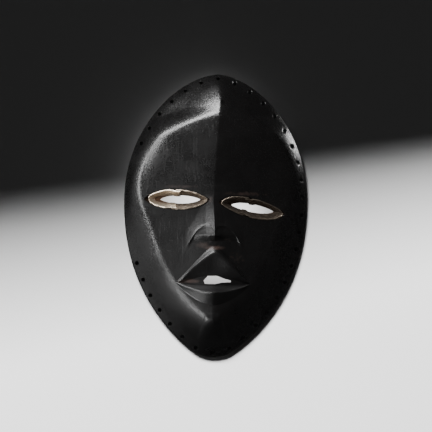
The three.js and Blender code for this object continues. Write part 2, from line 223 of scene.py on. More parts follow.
# The eyes: lenses cut as funnels down to a ledge, with a slit on through
LENS_POINT = 1.45
FUNNEL_FLARE = 1.3
EYE_FACETS = 96
EYE_HALF_HEIGHT = tall(0.0371)
LEDGE_HALF_HEIGHT = tall(0.02)
SLIT_HALF_HEIGHT = tall(0.0142)
CORNER_INSET = 1.9
BEND_ROUNDING = 2.5 * MM
STRIP_THICKNESS = 0.8 * MM
STRIP_DEPTH = 8 * MM
STRIP_PROUD = 0.5 * MM
STRIP_LAP = 4 * MM
STRIP_GAP = 0.35 * MM
STRIP_FACETS = (120, 14)
STRIP_LAP_RUN = (1.3, 2.6)
STRIP_RAGGEDNESS = 0.35 * MM
STRIP_EDGE_WEAR = 0.16 * MM
STRIP_CORNER = 50
# How bright each strip's metal is: part rubbed polish, part painted light and shade, with the left
# temple strip painted lit and the right eye's strips painted in shade
STRIP_POLISH_AND_LIGHT = {"left_temple": 0.9, "left_nose": 0.22, "right_temple": 0.14, "right_nose": 0.12}
EYES = {
    "left": {
        "temple": -1,
        "x": broad(-0.2095),
        "y": tall(-0.001),
        "tilt": math.radians(1.2),
        "shear": -0.3,
        "half": broad(0.176),
        "ledge_half": broad(0.146),
        "bend": broad(0.154),
        "bend_back": broad(0.124),
        "slit_half": broad(0.108),
        "slit_shift": broad(0.018),
        "top_joint": broad(0.037),
        "bottom_joint": broad(-0.019),
    },
    "right": {
        "temple": 1,
        "x": broad(0.201),
        "y": tall(-0.0262),
        "tilt": math.radians(-7.4),
        "shear": -0.8,
        "half": broad(0.179),
        "ledge_half": broad(0.136),
        "bend": broad(0.168),
        "bend_back": broad(0.127),
        "slit_half": broad(0.115),
        "slit_shift": 0,
        "top_joint": broad(-0.011),
        "bottom_joint": broad(-0.105),
    },
}

# Rim holes, and the chip beside the ridge
RIM_HOLE_INSET = 4 * MM
RIM_HOLE_PITCH = 14.8 * MM
RIM_HOLE_STRAY = 0.5 * MM
RIM_HOLE_FACETS = 20
RIM_HOLE_SAMPLES = 720
BARE_RIM = (tall(-0.19), tall(0.19))
CHIP = Vector((broad(0.028), tall(0.338), 0))
CHIP_HALF = Vector((1.5, 4.6, 2.4)) * MM

# How a rim hole narrows from its worn mouth: spread over the drill, and depth
RIM_HOLE_MOUTH = {"outside": (2.2, -3 * MM), "lip": (1.25, -0.1 * MM), "throat": (1, 0.6 * MM)}

# The nose and lips, where the shine is handled off
MUZZLE = {"middle": (-10 * MM, -48 * MM), "reach": (20 * MM, 38 * MM)}


def worn_spot(middle, reach, strength):
    """A rubbed spot, placed and sized by shares of the mask's width and height"""
    return {
        "middle": (broad(middle[0]), tall(middle[1])),
        "reach": (broad(reach[0]), tall(reach[1])),
        "strength": strength,
    }


# Where hands and cloth have rubbed the black off
WORN_SPOTS = {
    "philtrum": worn_spot((-0.06, -0.158), (0.04, 0.01), 0.55),
    "lip_apex": worn_spot((-0.005, -0.167), (0.045, 0.006), 0.85),
    "left_mouth_corner": worn_spot((-0.13, -0.285), (0.05, 0.006), 0.75),
    "left_lip_end": worn_spot((-0.18, -0.287), (0.03, 0.008), 0.5),
    "right_lip_line": worn_spot((0.12, -0.2), (0.06, 0.03), 0.3),
    "right_nostril": worn_spot((0.06, -0.14), (0.05, 0.012), 0.3),
    "left_eye_lid": worn_spot((-0.2, 0.044), (0.12, 0.006), 0.45),
    "left_eye_corner": worn_spot((-0.03, 0.0), (0.02, 0.015), 0.45),
    "right_eye_lid": worn_spot((0.16, 0.023), (0.12, 0.008), 0.45),
}

# The camera, straight over the mask, and the scale of its picture
IMAGE_PIXELS = 432
PIXEL = 0.848 * MM
CAMERA_RISE = 3.0
CAMERA_ASIDE = 0.7 * MM
CAMERA_TURN = math.radians(1.2)

# The lamp of the floor, and the edge of the dark: points on the floor and the board over them
FLOOR_LIGHT = {
    "bearing": 115,
    "rise": 64,
    "size": (0.5, 0.5),
    "brightness": 200,
    "distance": 2.0,
    "kind": "wash",
}
FLAG_LEFT = {"foot": (-0.175, -0.058, 0), "hang": 0.36}
FLAG_RIGHT = {"foot": (0.175, 0.012, 0), "hang": 0.3}
FLAG_HALF_DEPTH = 0.6
FLOOR_HALF = 4.0

# The panels round the mask: bearing from +X and rise in degrees, size and distance in metres
PANEL_DISTANCE = 1.2
PANELS = {
    "key_left": {"bearing": 174, "rise": 12, "size": (0.4, 0.22), "brightness": 22},
    "key_corner": {"bearing": 146, "rise": 16, "size": (0.6, 0.32), "brightness": 28},
    "key_top": {"bearing": 115, "rise": 16, "size": (0.6, 0.28), "brightness": 48},
    "forehead_fill": {"bearing": 125, "rise": 44, "size": (0.7, 0.3), "brightness": 0.5},
    "face_fill": {"bearing": 170, "rise": 62, "size": (0.5, 0.4), "brightness": 0.5},
    "cheek_light": {"bearing": 187, "rise": 13, "size": (0.06, 0.22), "brightness": 50},
    "chin_light": {"bearing": 217, "rise": 27, "size": (0.16, 0.6), "brightness": 34},
    "left_side": {"bearing": 190, "rise": -12, "size": (1.6, 0.5), "brightness": 0.6},
    "right_temple": {"bearing": 28, "rise": -52, "size": (0.1, 0.03), "brightness": 110},
    "eye_wash": {
        "bearing": 110,
        "rise": 62,
        "size": (0.3, 0.3),
        "brightness": 38,
        "distance": 1.0,
        "kind": "wash",
    },
}
UNDER_MASK = {
    "bearing": 0,
    "rise": 90,
    "size": (0.08, 0.1),
    "brightness": 3.2,
    "distance": 0.02,
    "kind": "wash",
}


class MaskSizes(bpy.types.PropertyGroup):
    """Sizes of the fine carving and the metal"""

    spokes: bpy.props.IntProperty(
        name="Spokes",
        description="Facets round the carving",
        default=440,
        min=64,
    )
    rim_rounding: bpy.props.FloatProperty(
        name="Rim rounding",
        description="Radius worn onto the edges of the rim",
        default=1.3 * MM,
        unit="LENGTH",
    )
    tool_marks: bpy.props.FloatProperty(
        name="Tool marks",
        description="Height of the unevenness left on the face",
        default=0.22 * MM,
        unit="LENGTH",
    )
    adze_marks: bpy.props.FloatProperty(
        name="Adze marks",
        description="Depth of the scallops in the hollow",
        default=1.1 * MM,
        unit="LENGTH",
    )
    hole_diameter: bpy.props.FloatProperty(
        name="Hole diameter",
        description="Diameter of the holes along the rim",
        default=3 * MM,
        unit="LENGTH",
    )
    dents: bpy.props.FloatProperty(
        name="Dents",
        description="Depth of the dents in the metal strips",
        default=0.26 * MM,
        unit="LENGTH",
    )


class MaskColours(bpy.types.PropertyGroup):
    """Colours of the finishes"""

    patina: bpy.props.FloatVectorProperty(
        name="Patina",
        description="Black of the face",
        subtype="COLOR",
        default=(0.0055, 0.0052, 0.0052),
    )
    worn: bpy.props.FloatVectorProperty(
        name="Worn",
        description="Brown where the black is rubbed",
        subtype="COLOR",
        default=(0.06, 0.04, 0.034),
    )
    raw: bpy.props.FloatVectorProperty(
        name="Raw wood",
        description="Wood of the hollow",
        subtype="COLOR",
        default=(0.12, 0.068, 0.04),
    )
    # Each strip is set between these two colours partly for rubbing and partly as painted light and
    # shade
    bright_metal: bpy.props.FloatVectorProperty(
        name="Bright metal",
        description="Rubbed parts of the strips",
        subtype="COLOR",
        default=(0.7, 0.6, 0.48),
    )
    dull_metal: bpy.props.FloatVectorProperty(
        name="Dull metal",
        description="Tarnished parts of the strips",
        subtype="COLOR",
        default=(0.13, 0.105, 0.083),
    )
    floor: bpy.props.FloatVectorProperty(
        name="Floor",
        description="Studio floor",
        subtype="COLOR",
        default=(0.78, 0.78, 0.78),
    )


# Forms of the carving


def clamp(value, low=0.0, high=1.0):
    return max(low, min(high, value))


def lerp(low, high, share):
    return low + (high - low) * share


def smoothstep(value, low, high):
    share = clamp((value - low) / (high - low))
    return share * share * (3 - 2 * share)


def bell(value, middle, spread):
    return math.exp(-(((value - middle) / spread) ** 2) / 2)


def soft_abs(value, softness):
    return math.hypot(value, softness) - softness


def smooth_min(a, b, blend):
    near = max(blend - abs(a - b), 0) / blend
    return min(a, b) - near * near * blend / 4


def smooth_max(a, b, blend):
    return -smooth_min(-a, -b, blend)


def half_width(y):
    """Half the width of the outline at a height over the eye line"""
    above = clamp(y / CROWN_RISE)
    below = clamp(-y / (CHIN_DROP + CHIN_OVERSHOOT))
    crown = (1 - above**2) ** CROWN_ROUNDNESS
    return WIDTH / 2 * crown * (1 - below**CHIN_FULLNESS) ** CHIN_ROUNDNESS


def is_in_outline(x, y):
    return -CHIN_DROP - CHIN_OVERSHOOT < y < CROWN_RISE and abs(x) < half_width(y)


def is_in_lips(x, y):
    top = BORDER_TOP - BORDER_TOP_FALL * soft_abs(x, LIP_APEX_SOFTNESS)
    return lerp(BORDER_FOOT, HUB, abs(x / MOUTH_HALF) ** BORDER_FOOT_CURVE) < y < top


def is_in_crest(x, y):
    top = CREST_TOP - CREST_TOP_FALL * soft_abs(x, LIP_APEX_SOFTNESS)
    return lerp(CREST_FOOT, HUB, (x / MOUTH_HALF) ** 2) < y < top


def is_in_slit(x, y):
    top = lerp(SLIT_TOP, HUB, abs(x / SLIT_HALF) ** SLIT_TOP_CURVE)
    return lerp(SLIT_FOOT, HUB, (x / SLIT_HALF) ** 2) < y < top


def nose_edge(x):
    """Height of the nose's lower edge, down to the tip and arched over each nostril"""
    out = abs(x)
    tip_dip = NOSE_TIP_DROP * max(1 - out / NOSE_TIP_HALF, 0) ** 2
    wing_dip = NOSTRIL_DROP * (max(out - NOSTRIL_ARCH_HALF, 0) / NOSTRIL_REACH) ** 2
    return NOSTRIL_ARCH - tip_dip - wing_dip


def kept_below_nose(x, y):
    """How much of the nose's height is left under its edge: a small step, then the underside"""
    edge = nose_edge(x)
    lip = min(NOSTRIL_LIP, edge)
    foot = min(NOSE_FOOT, edge - NOSE_UNDERSIDE)
    step = NOSTRIL_STEP * smoothstep(edge - y, 0, NOSTRIL_STEP_WIDTH)
    return (1 - step) * clamp((y - foot) / (lip - foot))


def is_below_nose(x, y):
    return y < nose_edge(x)


def reach_within(angle, is_inside):
    """Distance from the hub to where a ray leaves a region"""
    across, up = math.cos(angle), math.sin(angle)
    near, far = 0.0, HEIGHT
    for _ in range(32):
        middle = (near + far) / 2
        if is_inside(middle * across, HUB + middle * up):
            near = middle
        else:
            far = middle
    return near


def outline_reach(angle):
    reach = reach_within(angle, is_in_outline)
    up = math.sin(angle)
    return reach if up >= 0 else smooth_min(reach, (CHIN_DROP + HUB) / -up, CHIN_BLEND)


def measure_outline():
    """Reach of the outline, and how squarely the ray meets it, at even steps all round"""
    step = 2 * math.pi / OUTLINE_STEPS
    reaches = [outline_reach(index * step) for index in range(OUTLINE_STEPS)]
    measured = []
    for index, reach in enumerate(reaches):
        turn = (reaches[(index + 2) % OUTLINE_STEPS] - reaches[index - 2]) / (4 * step)
        measured.append((reach, reach / math.hypot(reach, turn)))
    return measured


def edge_at(angle):
    """The outline's reach and squareness between two of the measured steps"""
    place = angle / (2 * math.pi) * OUTLINE_STEPS
    before = math.floor(place)
    low = OUTLINE[before % OUTLINE_STEPS]
    high = OUTLINE[(before + 1) % OUTLINE_STEPS]
    return lerp(low[0], high[0], place - before), lerp(low[1], high[1], place - before)


OUTLINE = measure_outline()


def face_plain(x, y):
    """Height of the face over the back, before nose and lips"""
    forehead = bell(y, FOREHEAD_MIDDLE, FOREHEAD_SPREAD)
    fall = FACE_FALL + FOREHEAD_FALL * forehead
    fall += CROWN_FALL * smoothstep(y, ROLL_TOP_FROM, ROLL_TOP_TO)
    rounding = FACE_ROUNDING + FOREHEAD_ROUNDING * forehead
    chin = CHIN_RISE * bell(y, CHIN_MIDDLE, CHIN_SPREAD) * bell(x, 0, CHIN_SPREAD)
    rise = FACE_RISE + FOREHEAD_RISE * forehead + chin
    return rise - fall * soft_abs(x, RIDGE_SOFTNESS) - rounding * x * x


def nose_rise(x, y):
    down = clamp((NOSE_TOP - y) / (NOSE_TOP - NOSE_TIP))
    out = abs(x)
    wing_half = lerp(WING_HALF_TOP, WING_HALF_BASE, down**WING_CURVE)
    bridge = BRIDGE_RISE * down * max(1 - out / BRIDGE_HALF, 0)
    wing = WING_RISE * down * max(1 - out / wing_half, 0) ** WING_HOLLOW
    bead = NOSTRIL_BEAD * bell(y, nose_edge(x), NOSTRIL_BEAD_SPREAD)
    bead *= smoothstep(out, NOSE_TIP_HALF / 2, NOSE_TIP_HALF)
    bead *= smoothstep(wing, 0, NOSTRIL_BEAD_RUN)
    return (bridge + wing) * kept_below_nose(x, y) + bead


def roll_drop(short, radius):
    """Drop of the roll at a place lying short of its start: an arc, then a straight slope"""
    curved = min(short, ROLL_SLOPE * radius)
    return curved**2 / (2 * radius) + ROLL_SLOPE * (short - curved)


def rolled_face(from_edge, x, y):
    """The face with the forehead rolled over towards its edge, most of all at the crown"""
    top = smoothstep(y, ROLL_TOP_FROM, ROLL_TOP_TO)
    start = lerp(*ROLL_START, top)
    radius = lerp(*ROLL_RADIUS, top)
    face = face_plain(x, y)
    share = smoothstep(y, ROLL_FROM, ROLL_TO)
    room = face - RIM_HEIGHT - EDGE_CLEARANCE
    share = min(share, room / roll_drop(start, radius))
    return face - share * roll_drop(max(start - from_edge, 0), radius)


def plain_surface(from_edge, x, y):
    crown = smoothstep(y, CROWN_FROM, CROWN_TO)
    flank = SIDE_SLOPE * from_edge + SIDE_FLARE * from_edge**2
    bow = min(from_edge, BOW_RUN)
    brow = CROWN_SLOPE * from_edge - CROWN_BOW * bow * (2 * from_edge - bow)
    side = RIM_HEIGHT + lerp(flank, brow, crown)
    blend = lerp(CHEEK_BLEND, SHOULDER_BLEND, crown)
    return max(smooth_min(side, rolled_face(from_edge, x, y), blend), RIM_HEIGHT)


def hollow_surface(from_edge, x, y):
    wall = HOLLOW_SLOPE * (from_edge - RIM_LAND)
    roof = smooth_min(wall, rolled_face(from_edge, x, y) - WALL, HOLLOW_BLEND)
    return smooth_max(roof, 0, HOLLOW_EDGE_BLEND)


def plain_height(x, y):
    reach, square = edge_at(math.atan2(y - HUB, x))
    return plain_surface((reach - math.hypot(x, y - HUB)) * square, x, y)


def ridge_shift(y, inward):
    """How far the hand-cut ridge wanders off the middle line"""
    if y > 0:
        shift = RIDGE_AT_EYES + RIDGE_LEAN * clamp(y / CROWN_RISE)
    else:
        shift = RIDGE_AT_EYES * clamp(1 - y / NOSE_TIP)
    return shift * clamp(inward)


class Spoke:
    """A line of the carving's grid, from the hub over the lips and the face to the edge and back"""

    def __init__(self, turn, sizes):
        self.sizes = sizes
        self.angle = math.pi / 2 + turn - SPOKE_CROWDING / 2 * math.sin(2 * turn)
        self.across = math.cos(self.angle)
        self.up = math.sin(self.angle)
        self.border = reach_within(self.angle, is_in_lips)
        self.crest = min(reach_within(self.angle, is_in_crest), self.border * CREST_REACH)
        self.slit = min(reach_within(self.angle, is_in_slit), self.crest * CREST_REACH)
        nostril = reach_within(self.angle, is_below_nose) if self.up > 0 else 0
        self.nose = max(nostril, self.border + LIP_TO_NOSE)
        self.reach, self.square = edge_at(self.angle)
        self.rows = self.front_rows() + self.back_rows()

    def front_rows(self):
        philtrum = lerp(self.border, self.nose, PHILTRUM_SHARE)
        stops = (0, self.slit, self.crest, self.border, philtrum, self.nose)
        radii = [0.0]
        for start, end, rings in zip(stops, stops[1:], FRONT_RUNS):
            radii += [lerp(start, end, (ring + 1) / rings) for ring in range(rings)]
        for ring in range(FACE_RINGS):
            share = (1 - (ring + 1) / FACE_RINGS) ** RING_CROWDING
            radii.append(lerp(self.reach, self.nose, share))
        return [self.front_point(radius) for radius in radii]

    def back_rows(self):
        """Down the upright edge, in over the flat rim and through the hollow"""
        rounding = self.sizes.rim_rounding
        profile = []
        for ring in range(EDGE_RINGS):
            rise = lerp(RIM_HEIGHT - rounding, rounding, (ring + 1) / EDGE_RINGS)
            profile.append((0, rise))
        for ring in range(ARC_RINGS):
            turn = math.pi / 2 * (ring + 1) / ARC_RINGS
            profile.append((rounding * (1 - math.cos(turn)), rounding * (1 - math.sin(turn))))
        for ring in range(LAND_RINGS):
            profile.append((lerp(rounding, RIM_LAND, (ring + 1) / LAND_RINGS), 0))
        rows = [self.point(self.reach - inset / self.square, rise) for inset, rise in profile]
        inner = self.reach - RIM_LAND / self.square
        for ring in range(HOLLOW_RINGS):
            share = 1 - ((ring + 1) / HOLLOW_RINGS) ** RING_CROWDING
            rows.append(self.hollow_point(inner * share))
        return rows

    def point(self, radius, z):
        x, y = radius * self.across, HUB + radius * self.up
        inward = (self.reach - radius) * self.square / RIDGE_FADE
        return Vector((x + ridge_shift(y, inward), y - BOX_MIDDLE, z))

    def lip_rise(self, radius):
        full = math.sqrt(abs(self.up))
        top = full * (UPPER_LIP_RISE if self.up > 0 else LOWER_LIP_RISE)
        top = max(top, MOUTH_FLOOR_RISE)
        inner = lerp(MOUTH_FLOOR_RISE, top, (radius - self.slit) / (self.crest - self.slit))
        share = (self.border - radius) / (self.border - self.crest)
        bead = LIP_BEAD * clamp(LIP_BEAD_GAIN * self.up)
        bead *= bell(share, LIP_BEAD_AT, LIP_BEAD_SPREAD)
        outer = lerp(0, top, share) + bead * clamp(share / LIP_BEAD_AT)
        if radius <= self.slit:
            return MOUTH_FLOOR_RISE
        if radius >= self.border:
            return 0
        return smooth_min(inner, outer, CREST_ROUNDING)

    def front_point(self, radius):
        x, y = radius * self.across, HUB + radius * self.up
        from_edge = max((self.reach - radius) * self.square, 0)
        rise = plain_surface(from_edge, x, y) + nose_rise(x, y) + self.lip_rise(radius)
        rise += self.unevenness(x, y, from_edge)
        short = clamp(1 - from_edge / self.sizes.rim_rounding)
        rise -= self.sizes.rim_rounding * (1 - math.sqrt(1 - short**2))
        return self.point(radius, rise)

    def unevenness(self, x, y, from_edge):
        """Broad unevenness of the cutting, and finer marks of the scraper"""
        broad_marks = noise.noise(Vector((x, y, 0)) / BROAD_MARK)
        spot = Vector((x, y * FINE_MARK_STRETCH, FINE_MARK_LAYER * FINE_MARK))
        fine_marks = noise.noise(spot / FINE_MARK)
        fade = smoothstep(from_edge, 0, MARKS_FADE)
        return self.sizes.tool_marks * fade * (broad_marks + FINE_MARK_SHARE * fine_marks)

    def hollow_point(self, radius):
        """The hollow, cut in scallops"""
        x, y = radius * self.across, HUB + radius * self.up
        from_edge = (self.reach - radius) * self.square
        rise = hollow_surface(from_edge, x, y)
        cell = noise.voronoi(Vector((x / SCALLOP_WIDE, y / SCALLOP_LONG, 0)))[0][0]
        crest = min(SCALLOP_FULLNESS * cell, 1) ** 2
        fade = smoothstep(from_edge, SCALLOPS_FROM, SCALLOPS_TO)
        rise -= self.sizes.adze_marks * crest * fade
        return self.point(radius, rise)


def lens_at(eye, angle, half, half_height, shift=0.0, bend=WIDTH):
    """A point of an eye's lens. A strip's lens turns back at its bend, short of the temple"""
    up = math.sin(angle)
    outward = eye["temple"] * half * math.cos(angle)
    local_y = half_height * math.copysign(abs(up) ** LENS_POINT, up)
    local_x = shift + eye["temple"] * smooth_min(outward, bend, BEND_ROUNDING)
    local_x += eye["shear"] * local_y
    across, rise = math.cos(eye["tilt"]), math.sin(eye["tilt"])
    x = eye["x"] + local_x * across - local_y * rise
    y = eye["y"] + local_x * rise + local_y * across
    return x, y


def strip_spans(eye):
    """Where the strips of an eye end and begin, as angles round the lens from its right point"""
    top = math.acos(eye["top_joint"] / eye["half"])
    bottom = 2 * math.pi - math.acos(eye["bottom_joint"] / eye["half"])
    lap = STRIP_LAP / eye["half"]
    turn = 2 * math.pi
    if eye["temple"] < 0:
        return (top, bottom), (bottom - lap, top + lap + turn)
    return (bottom - turn, top), (top - lap, bottom + lap)


# Building


def new_piece(name, bm):
    """An object at the origin that holds the mesh"""
    mesh = bpy.data.meshes.new(name)
    bm.to_mesh(mesh)
    bm.free()
    piece = bpy.data.objects.new(name, mesh)
    bpy.context.scene.collection.objects.link(piece)
    return piece


def settle(piece):
    """Makes a piece's modifiers part of its mesh"""
    bpy.context.view_layer.update()
    graph = bpy.context.evaluated_depsgraph_get()
    mesh = bpy.data.meshes.new_from_object(piece.evaluated_get(graph), depsgraph=graph)
    piece.modifiers.clear()
    piece.data = mesh
    mesh.name = piece.name


def smooth_faces(piece):
    mesh = piece.data
    mesh.polygons.foreach_set("use_smooth", [True] * len(mesh.polygons))
    mesh.set_sharp_from_angle(angle=math.radians(SHARP_ANGLE))


def write_attribute(piece, name, values):
    layer = piece.data.attributes.new(name, "FLOAT", "POINT")
    layer.data.foreach_set("value", values)


def attach(piece, node):
    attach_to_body(piece, "root")
    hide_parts(node)


def draw_block(bm, segments, rows):
    """A closed block whose outline goes from row to row, each row a function of the turn"""
    rings = len(rows) + 1
    ball = bmesh.ops.create_uvsphere(bm, u_segments=segments, v_segments=rings, radius=1)
    turns = [2 * math.pi * index / segments for index in range(segments)]
    for vert in ball["verts"]:
        ring = round(math.acos(clamp(vert.co.z, -1, 1)) / math.pi * rings)
        row = rows[int(clamp(ring - 1, 0, len(rows) - 1))]
        if 0 < ring < rings:
            vert.co = row(math.atan2(vert.co.y, vert.co.x))
        else:
            vert.co = sum((row(turn) for turn in turns), Vector()) / segments


def draw_eye_funnel(bm, eye):
    """What is cut out of the wood for an eye"""

    def row(depth, spread=None):
        def place(turn):
            half, half_height, shift = eye["slit_half"], SLIT_HALF_HEIGHT, eye["slit_shift"]
            if spread is not None:
                half = lerp(eye["ledge_half"], eye["half"], spread)
                half_height = lerp(LEDGE_HALF_HEIGHT, EYE_HALF_HEIGHT, spread)
                shift = 0
            x, y = lens_at(eye, turn, half, half_height, shift)
            if spread is None:
                return Vector((x, y - BOX_MIDDLE, plain_height(x, y) - depth))
            rim = plain_height(*lens_at(eye, turn, eye["half"], EYE_HALF_HEIGHT))
            ledge = plain_height(*lens_at(eye, turn, eye["ledge_half"], LEDGE_HALF_HEIGHT))
            return Vector((x, y - BOX_MIDDLE, lerp(ledge - STRIP_DEPTH, rim, spread) - depth))

        return place

    rows = [
        row(-FACE_RISE, FUNNEL_FLARE),
        row(0, FUNNEL_FLARE),
        row(0, 0),
        row(STRIP_DEPTH),
        row(WALL + FACE_RISE),
    ]
    draw_block(bm, EYE_FACETS, rows)


def draw_mouth_hole(bm):
    corners = len(MOUTH_HOLE)

    def row(z):
        def place(turn):
            x, y = MOUTH_HOLE[round(turn / (2 * math.pi) * corners) % corners]
            return Vector((x, y - BOX_MIDDLE, z))

        return place

    before = set(bm.edges)
    draw_block(bm, corners, [row(-FACE_RISE), row(2 * FACE_RISE)])
    uprights = [
        edge
        for edge in bm.edges
        if edge not in before and abs(edge.verts[0].co.z - edge.verts[1].co.z) > FACE_RISE
    ]
    bmesh.ops.bevel(
        bm,
        geom=uprights,
        offset=MOUTH_HOLE_ROUNDING,
        segments=3,
        profile=0.5,
        affect="EDGES",
        material=-1,
    )


def rim_hole_middles():
    """Middles of the rim holes: evenly spaced along the edge, with none down the left temple"""
    path = []
    for sample in range(RIM_HOLE_SAMPLES + 1):
        angle = math.pi / 2 + 2 * math.pi * sample / RIM_HOLE_SAMPLES
        reach, square = edge_at(angle)
        radius = reach - RIM_HOLE_INSET / square
        path.append(Vector((radius * math.cos(angle), HUB + radius * math.sin(angle), 0)))
    travelled = [0.0]
    for before, after in zip(path, path[1:]):
        travelled.append(travelled[-1] + (after - before).length)
    count = round(travelled[-1] / RIM_HOLE_PITCH)
    middles = []
    for hole in range(count):
        target = travelled[-1] * hole / count
        after = max(next(index for index, way in enumerate(travelled) if way >= target), 1)
        share = (target - travelled[after - 1]) / (travelled[after] - travelled[after - 1])
        middle = path[after - 1].lerp(path[after], share)
        if middle.x > 0 or not BARE_RIM[0] < middle.y < BARE_RIM[1]:
            middles.append(middle)
    return middles


def draw_rim_hole(bm, middle, radius):
    """A drilled hole, its mouth worn wider"""

    def row(spread, depth=None):
        def place(turn):
            x = middle.x + spread * radius * math.cos(turn)
            y = middle.y + spread * radius * math.sin(turn)
            z = -RIM_HEIGHT if depth is None else plain_height(x, y) - depth
            return Vector((x, y - BOX_MIDDLE, z))

        return place

    rows = [row(*step) for step in RIM_HOLE_MOUTH.values()]
    draw_block(bm, RIM_HOLE_FACETS, [*rows, row(1)])


def draw_chip(bm):
    chip = bmesh.ops.create_icosphere(bm, subdivisions=3, radius=1)["verts"]
    bmesh.ops.scale(bm, vec=CHIP_HALF, verts=chip)
    middle = Vector((CHIP.x, CHIP.y - BOX_MIDDLE, plain_height(CHIP.x, CHIP.y)))
    bmesh.ops.translate(bm, vec=middle, verts=chip)


def carve_blank(sizes):
    """The mask before anything is cut through it"""
    spokes = [Spoke(2 * math.pi * index / sizes.spokes, sizes) for index in range(sizes.spokes)]
    rows = len(spokes[0].rows) - 1
    bm = bmesh.new()
    bmesh.ops.create_uvsphere(bm, u_segments=sizes.spokes, v_segments=rows, radius=1)
    for vert in bm.verts:
        row = round(math.acos(clamp(vert.co.z, -1, 1)) / math.pi * rows)
        turn = math.atan2(vert.co.y, vert.co.x) / (2 * math.pi)
        vert.co = spokes[round(turn * sizes.spokes) % sizes.spokes].rows[row]
    return new_piece("carved_wood", bm)


def cut_openings(wood, sizes):
    cutters = bmesh.new()
    for eye in EYES.values():
        draw_eye_funnel(cutters, eye)
    draw_mouth_hole(cutters)
    for index, middle in enumerate(rim_hole_middles()):
        stray = noise.noise_vector(Vector((index * 1.7, 0.3, 0))) * RIM_HOLE_STRAY
        stray.z = 0
        draw_rim_hole(cutters, middle + stray, sizes.hole_diameter / 2)
    draw_chip(cutters)
    bmesh.ops.recalc_face_normals(cutters, faces=cutters.faces[:])
    block = new_piece("openings", cutters)
    cut = wood.modifiers.new("openings", "BOOLEAN")
    cut.operation = "DIFFERENCE"
    cut.solver = "MANIFOLD"
    cut.object = block
    settle(wood)
    bpy.data.objects.remove(block)


def share_of_spot(point, spot):
    """1 in the middle of a spot of the face, fading out over its reach"""
    across = bell(point.x, spot["middle"][0], spot["reach"][0])
    return across * bell(point.y + BOX_MIDDLE, spot["middle"][1], spot["reach"][1])


def dull_at(point):
    """How far the shine is handled off round the nose and the lips"""
    return share_of_spot(point, MUZZLE)


def worn_at(point):
    """How far the black is rubbed off at a point of the wood"""
    return max(spot["strength"] * share_of_spot(point, spot) for spot in WORN_SPOTS.values())


def raw_at(point):
    """1 in the hollow, where the wood was never blackened, and 0 on the face"""
    x, y = point.x, point.y + BOX_MIDDLE
    reach, square = edge_at(math.atan2(y - HUB, x))
    from_edge = (reach - math.hypot(x, y - HUB)) * square
    if from_edge < RIM_LAND:
        return 1 - smoothstep(point.z, 0, RAW_EDGE)
    middle = (plain_surface(from_edge, x, y) + hollow_surface(from_edge, x, y)) / 2
    return 1 - smoothstep(point.z, middle - RAW_HALF_DEPTH, middle + RAW_HALF_DEPTH)


def strip_place(eye, turn, sunk, inset):
    """Place of a strip's middle sheet, from its edge at the face down to its foot"""
    half = lerp(eye["half"], eye["ledge_half"], sunk) - CORNER_INSET * inset
    half_height = lerp(EYE_HALF_HEIGHT, LEDGE_HALF_HEIGHT, sunk) - inset
    bend = lerp(eye["bend"], eye["bend_back"], sunk) - STRIP_THICKNESS / 2
    return lens_at(eye, turn, half, half_height, bend=bend)


def shape_strip(name, eye, span, is_over, sizes):
    """A bent strip. The over strip lifts at its ends, where it lies on the ends of the other"""
    start, end = span
    lap_start, lap_end = (STRIP_LAP / eye["half"] * run for run in STRIP_LAP_RUN)
    bm = bmesh.new()
    along, down = STRIP_FACETS
    bmesh.ops.create_grid(bm, x_segments=along, y_segments=down, size=0.5)
    for vert in bm.verts:
        turn = lerp(start, end, vert.co.x + 0.5)
        sunk = 0.5 - vert.co.y
        from_end = min(turn - start, end - turn)
        lift = 1 - smoothstep(from_end, lap_start, lap_end) if is_over else 0
        dent = sizes.dents * noise.noise(Vector((turn * 5, sunk * 2.5, len(name))))
        inset = STRIP_GAP + STRIP_THICKNESS / 2 + lift * (STRIP_THICKNESS + STRIP_GAP) + dent
        x, y = strip_place(eye, turn, sunk, inset)
        ragged = STRIP_RAGGEDNESS * noise.noise(Vector((turn * 7, 4, len(name))))
        rim = plain_height(*lens_at(eye, turn, eye["half"], EYE_HALF_HEIGHT))
        foot = plain_height(*strip_place(eye, turn, 1, inset)) - STRIP_DEPTH + STRIP_GAP
        vert.co = Vector((x, y - BOX_MIDDLE, lerp(rim + STRIP_PROUD - ragged, foot, sunk)))
    strip = new_piece(name, bm)
    sheet = strip.modifiers.new("sheet", "SOLIDIFY")
    sheet.thickness = STRIP_THICKNESS
    sheet.offset = 0
    edge = strip.modifiers.new("edge", "BEVEL")
    edge.width = STRIP_EDGE_WEAR
    edge.segments = 2
    edge.limit_method = "ANGLE"
    edge.angle_limit = math.radians(STRIP_CORNER)
    settle(strip)
    smooth_faces(strip)
    return strip


# Finishes


class Value:
    """A shader socket that takes part in Python arithmetic"""

    def __init__(self, finish, socket):
        self.finish = finish
        self.socket = socket

    def combine(self, operation, *values):
        return self.finish.node("ShaderNodeMath", {"operation": operation}, dict(enumerate(values)))

    def __add__(self, other):
        return self.combine("ADD", self, other)

    def __sub__(self, other):
        return self.combine("SUBTRACT", self, other)

    def __rsub__(self, other):
        return self.combine("SUBTRACT", other, self)

    def __mul__(self, other):
        return self.combine("MULTIPLY", self, other)

    __radd__ = __add__
    __rmul__ = __mul__


